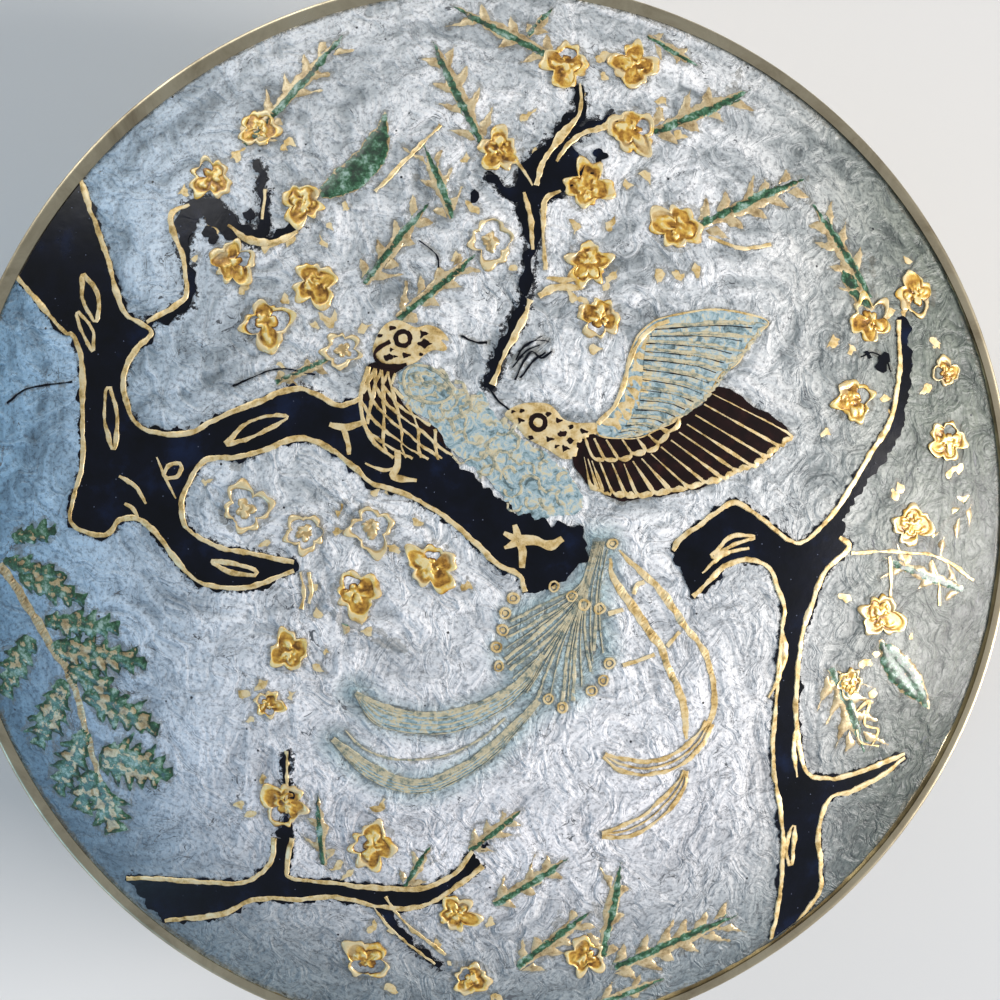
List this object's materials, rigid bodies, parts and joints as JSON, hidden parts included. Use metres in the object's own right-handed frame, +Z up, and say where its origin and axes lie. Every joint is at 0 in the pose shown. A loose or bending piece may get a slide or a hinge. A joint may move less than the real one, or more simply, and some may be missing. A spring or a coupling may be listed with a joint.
{
  "type": "enamelled brass trinket box",
  "caption": "Round brass trinket box with a domed lift-off lid, a low relief of birds on blossoming branches under enamel, and a plain bowl base on a foot ring.",
  "frame": {"origin": "centre of the foot ring's underside, on the surface that the box stands on", "axes": "+Z up through the lid, +Y towards the top of the lid's picture, +X to the picture's right"},
  "size_m": [0.127, 0.127, 0.0515],
  "materials": {
    "brass": "satin, hand polished, lightly tarnished",
    "relief_brass": "raised lines ground flush and polished"
  },
  "bodies": {
    "root": {"base": "brass", "lid": "relief_brass"}
  },
  "joints": []
}
